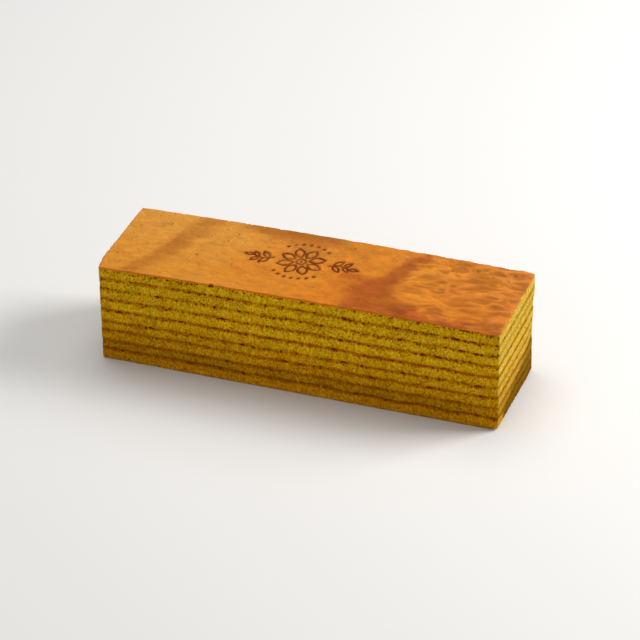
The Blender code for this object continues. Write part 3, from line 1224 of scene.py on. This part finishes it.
def make_floor(look):
    """A wide pale floor under the bar."""
    sheet = bmesh.new()
    bmesh.ops.create_grid(sheet, x_segments=1, y_segments=1, size=look.floor_size / 2)
    mesh = bpy.data.meshes.new("floor")
    sheet.to_mesh(mesh)
    sheet.free()
    material, nodes, _ = new_material("pale_floor")
    nodes.surface({"Base Color": look.floor_colour, "Roughness": 0.7})
    mesh.materials.append(material)
    floor = bpy.data.objects.new("floor", mesh)
    bpy.context.scene.collection.objects.link(floor)


def set_world(look):
    """Even pale light from all round."""
    world = bpy.data.worlds.new("pale_room")
    world.use_nodes = True
    background = world.node_tree.nodes["Background"]
    background.inputs["Color"].default_value = (*look.room_colour, 1)
    background.inputs["Strength"].default_value = look.room_light
    bpy.context.scene.world = world


def colour_setting(name, description, default):
    """A colour that a user may change."""
    return bpy.props.FloatVectorProperty(
        name=name, description=description, default=default, subtype="COLOR", size=3, min=0, max=1
    )


def length_setting(name, description, default):
    """A length that a user may change."""
    return bpy.props.FloatProperty(
        name=name, description=description, default=default, unit="LENGTH", min=0, precision=5
    )


def share_setting(name, description, default):
    """A share between 0 and 1 that a user may change."""
    return bpy.props.FloatProperty(
        name=name, description=description, default=default, subtype="FACTOR", min=0, max=1
    )


def light_setting(name, description, default, unit="POWER"):
    """The power or the strength of a light that a user may change."""
    return bpy.props.FloatProperty(
        name=name, description=description, default=default, unit=unit, min=0
    )


class SpongeLook(bpy.types.PropertyGroup):
    """Sizes and colours of the cut sponge layers."""

    relief: length_setting("Crumb relief", "Depth of the open crumb in the cuts", 0.00026)
    grain: length_setting("Crumb grain", "Size of the crumb's lumps", 0.0009)
    unevenness: length_setting("Unevenness", "Depth of the cut's broad hollows", 0.00015)
    line_width: length_setting("Line width", "Height of a browned line", 0.0014)
    contrast: share_setting("Contrast", "Light and dark of the crumb", 0.8)
    low_colour: colour_setting("Low crumb", "Crumb at the base", (0.520, 0.225, 0.002))
    high_colour: colour_setting("High crumb", "Crumb under the top", (0.625, 0.350, 0.005))
    # The ends' gain is a painted sheen of the light from the right.
    end_gain: bpy.props.FloatVectorProperty(
        name="End gain", description="Gain of the crumb's colour on the ends",
        default=(0.94, 1.08, 8.5), size=3, min=0,
    )
    # A painted shadow at the foot of the ends.
    end_shade_tint: colour_setting("Foot tint", "Tint at the foot of the ends", (0.33, 0.29, 0.0))
    line_tint: colour_setting("Low lines", "Tint of the lower lines", (0.58, 0.34, 0.10))
    high_line_tint: colour_setting("High lines", "Tint of the upper lines", (0.60, 0.29, 0.08))
    end_line_tint: colour_setting("End lines", "Tint of the lines of the ends", (0.51, 0.39, 0.0))
    pore_colour: colour_setting("Pores", "Colour of the shallow pits", (0.380, 0.100, 0.003))
    pit_shade_colour: colour_setting("Pits", "Colour inside the deep pits", (0.200, 0.040, 0.002))
    base_colour: colour_setting("Base", "Colour of the underside", (0.330, 0.120, 0.006))


class SkinLook(bpy.types.PropertyGroup):
    """Sizes and colours of the baked top skin."""

    swell: length_setting("Swell", "Depth of the top's broad hollows", 0.00015)
    ripple: length_setting("Ripple", "Depth of the folds at the right", 0.00072)
    linen: length_setting("Fine ripple", "Depth of the fine ripple all over", 0.00010)
    dimple: length_setting("Dimples", "Depth of the scattered dimples", 0.00024)
    pinhole_depth: length_setting("Pinhole depth", "Depth of the pinholes", 0.0005)
    roughness: share_setting("Roughness", "Mean roughness of the skin", 0.42)
    gloss: share_setting("Gloss", "Strength of the skin's sheen", 0.12)
    mottle: share_setting("Mottle", "Light and dark of the browning", 0.12)
    tan: colour_setting("Tan", "Palest browning, at the left", (0.630, 0.255, 0.028))
    amber: colour_setting("Amber", "Browning in the middle", (0.605, 0.190, 0.010))
    orange: colour_setting("Orange", "Browning at the right", (0.545, 0.162, 0.010))
    umber: colour_setting("Umber", "Dull darker streaks", (0.400, 0.132, 0.008))
    russet: colour_setting("Russet", "Reddish darker streaks", (0.380, 0.080, 0.006))
    rim: colour_setting("Rim", "Edge of the skin", (0.520, 0.130, 0.003))
    hole_colour: colour_setting("Pinholes", "Colour in the pinholes", (0.200, 0.050, 0.006))


class BurnLook(bpy.types.PropertyGroup):
    """Size and colour of the burnt ornament."""

    width: length_setting("Stroke width", "Width of the burnt strokes", 0.00115)
    depth: length_setting("Stroke depth", "Depth pressed into the skin", 0.00035)
    halo: share_setting("Halo", "Scorching beside the strokes", 0.35)
    colour: colour_setting("Char", "Colour of the strokes", (0.150, 0.034, 0.006))


class StageLook(bpy.types.PropertyGroup):
    """Floor, lights and surroundings."""

    floor_size: length_setting("Floor size", "Side of the floor", 6.0)
    floor_colour: colour_setting("Floor", "Colour of the floor", (0.80, 0.80, 0.80))
    room_colour: colour_setting("Room", "Colour of the light all round", (1.0, 1.0, 1.0))
    room_light: light_setting("Room light", "Strength of the light all round", 0.28, "NONE")
    key_power: light_setting("Key light", "Power of the light from the right", 13.8)
    top_power: light_setting("Top light", "Power of the light from above", 7.0)
    front_power: light_setting("Front light", "Power of the light from the front", 2.0)


class CAKE_OT_sponge_layers(bpy.types.Operator):
    """Model the nine sponge layers with their crumb, browned lines and pits"""

    bl_idname = "cake.sponge_layers"
    bl_label = "Sponge Layers"

    def execute(self, context):
        look = context.scene.cake_sponge
        groups = (crumb_group(), line_group())
        slots = (("sponge_low", 3), ("sponge_middle", 6), ("sponge_high", 8), ("browned_top", 9))
        base = base_material(look)
        materials = {slot: sponge_material(f"{slot}_crumb", look, *groups) for slot, _ in slots}
        pits = scatter_pits()
        blank = make_slab(WALL_ROWS, fine_top=False)
        for layer in range(1, LAYER_COUNT + 1):
            slot = next(name for name, last in slots if layer <= last)
            slab = blank.copy()
            place_layer(slab, layer, pits, look)
            slab.normal_update()
            for face in slab.faces:
                face.material_index = int(layer == 1 and face.normal.z < -0.7)
            finish_piece(
                slab, f"crumb_layer_{layer}", [materials[slot], base],
                [f"sponge_layer_{layer}"],
            )
        blank.free()
        return {"FINISHED"}


class CAKE_OT_top_skin(bpy.types.Operator):
    """Model the baked top skin with its ripples, pinholes and burnt ornament"""

    bl_idname = "cake.top_skin"
    bl_label = "Top Skin"

    def execute(self, context):
        look = context.scene.cake_skin
        burn = context.scene.cake_burn
        slab = make_slab(SKIN_ROWS, fine_top=True)
        place_skin(slab, look, burn)
        material = skin_material(look, burn, streak_group())
        finish_piece(slab, "top_skin", [material], [])
        return {"FINISHED"}


class CAKE_OT_stage(bpy.types.Operator):
    """Set the floor, the soft lights and the camera at the photograph's angle"""

    bl_idname = "cake.stage"
    bl_label = "Stage"

    def execute(self, context):
        look = context.scene.cake_stage
        context.scene.view_settings.view_transform = "Standard"
        make_floor(look)
        set_world(look)
        for name, place, size, power in LIGHTS:
            place_light(name, place, size, getattr(look, power))
        place_camera()
        return {"FINISHED"}


class CAKE_PT_bar(bpy.types.Panel):
    """Lists the steps that build the cake bar"""

    bl_label = "Layered Butter Cake Bar"
    bl_idname = "CAKE_PT_bar"
    bl_space_type = "VIEW_3D"
    bl_region_type = "UI"
    bl_category = "Cake"

    def draw(self, context):
        layout = self.layout
        for operator in (CAKE_OT_sponge_layers, CAKE_OT_top_skin, CAKE_OT_stage):
            layout.operator(operator.bl_idname)
        for name in LOOKS:
            box = layout.box()
            look = getattr(context.scene, name)
            for setting in look.__annotations__:
                box.prop(look, setting)


LOOKS = {
    "cake_sponge": SpongeLook,
    "cake_skin": SkinLook,
    "cake_burn": BurnLook,
    "cake_stage": StageLook,
}
CLASSES = (
    *LOOKS.values(), CAKE_OT_sponge_layers, CAKE_OT_top_skin, CAKE_OT_stage, CAKE_PT_bar
)


def register():
    """Register the classes and hang their settings on the scene."""
    for item in CLASSES:
        bpy.utils.register_class(item)
    for name, look in LOOKS.items():
        setattr(bpy.types.Scene, name, bpy.props.PointerProperty(type=look))


def unregister():
    """Take the settings and the classes away again."""
    for name in LOOKS:
        delattr(bpy.types.Scene, name)
    for item in reversed(CLASSES):
        bpy.utils.unregister_class(item)


def main():
    """Build everything: the sponge layers, the top skin and the stage."""
    register()
    bpy.ops.cake.sponge_layers()
    bpy.ops.cake.top_skin()
    bpy.ops.cake.stage()
    bpy.context.view_layer.update()


if __name__ == "__main__":
    main()
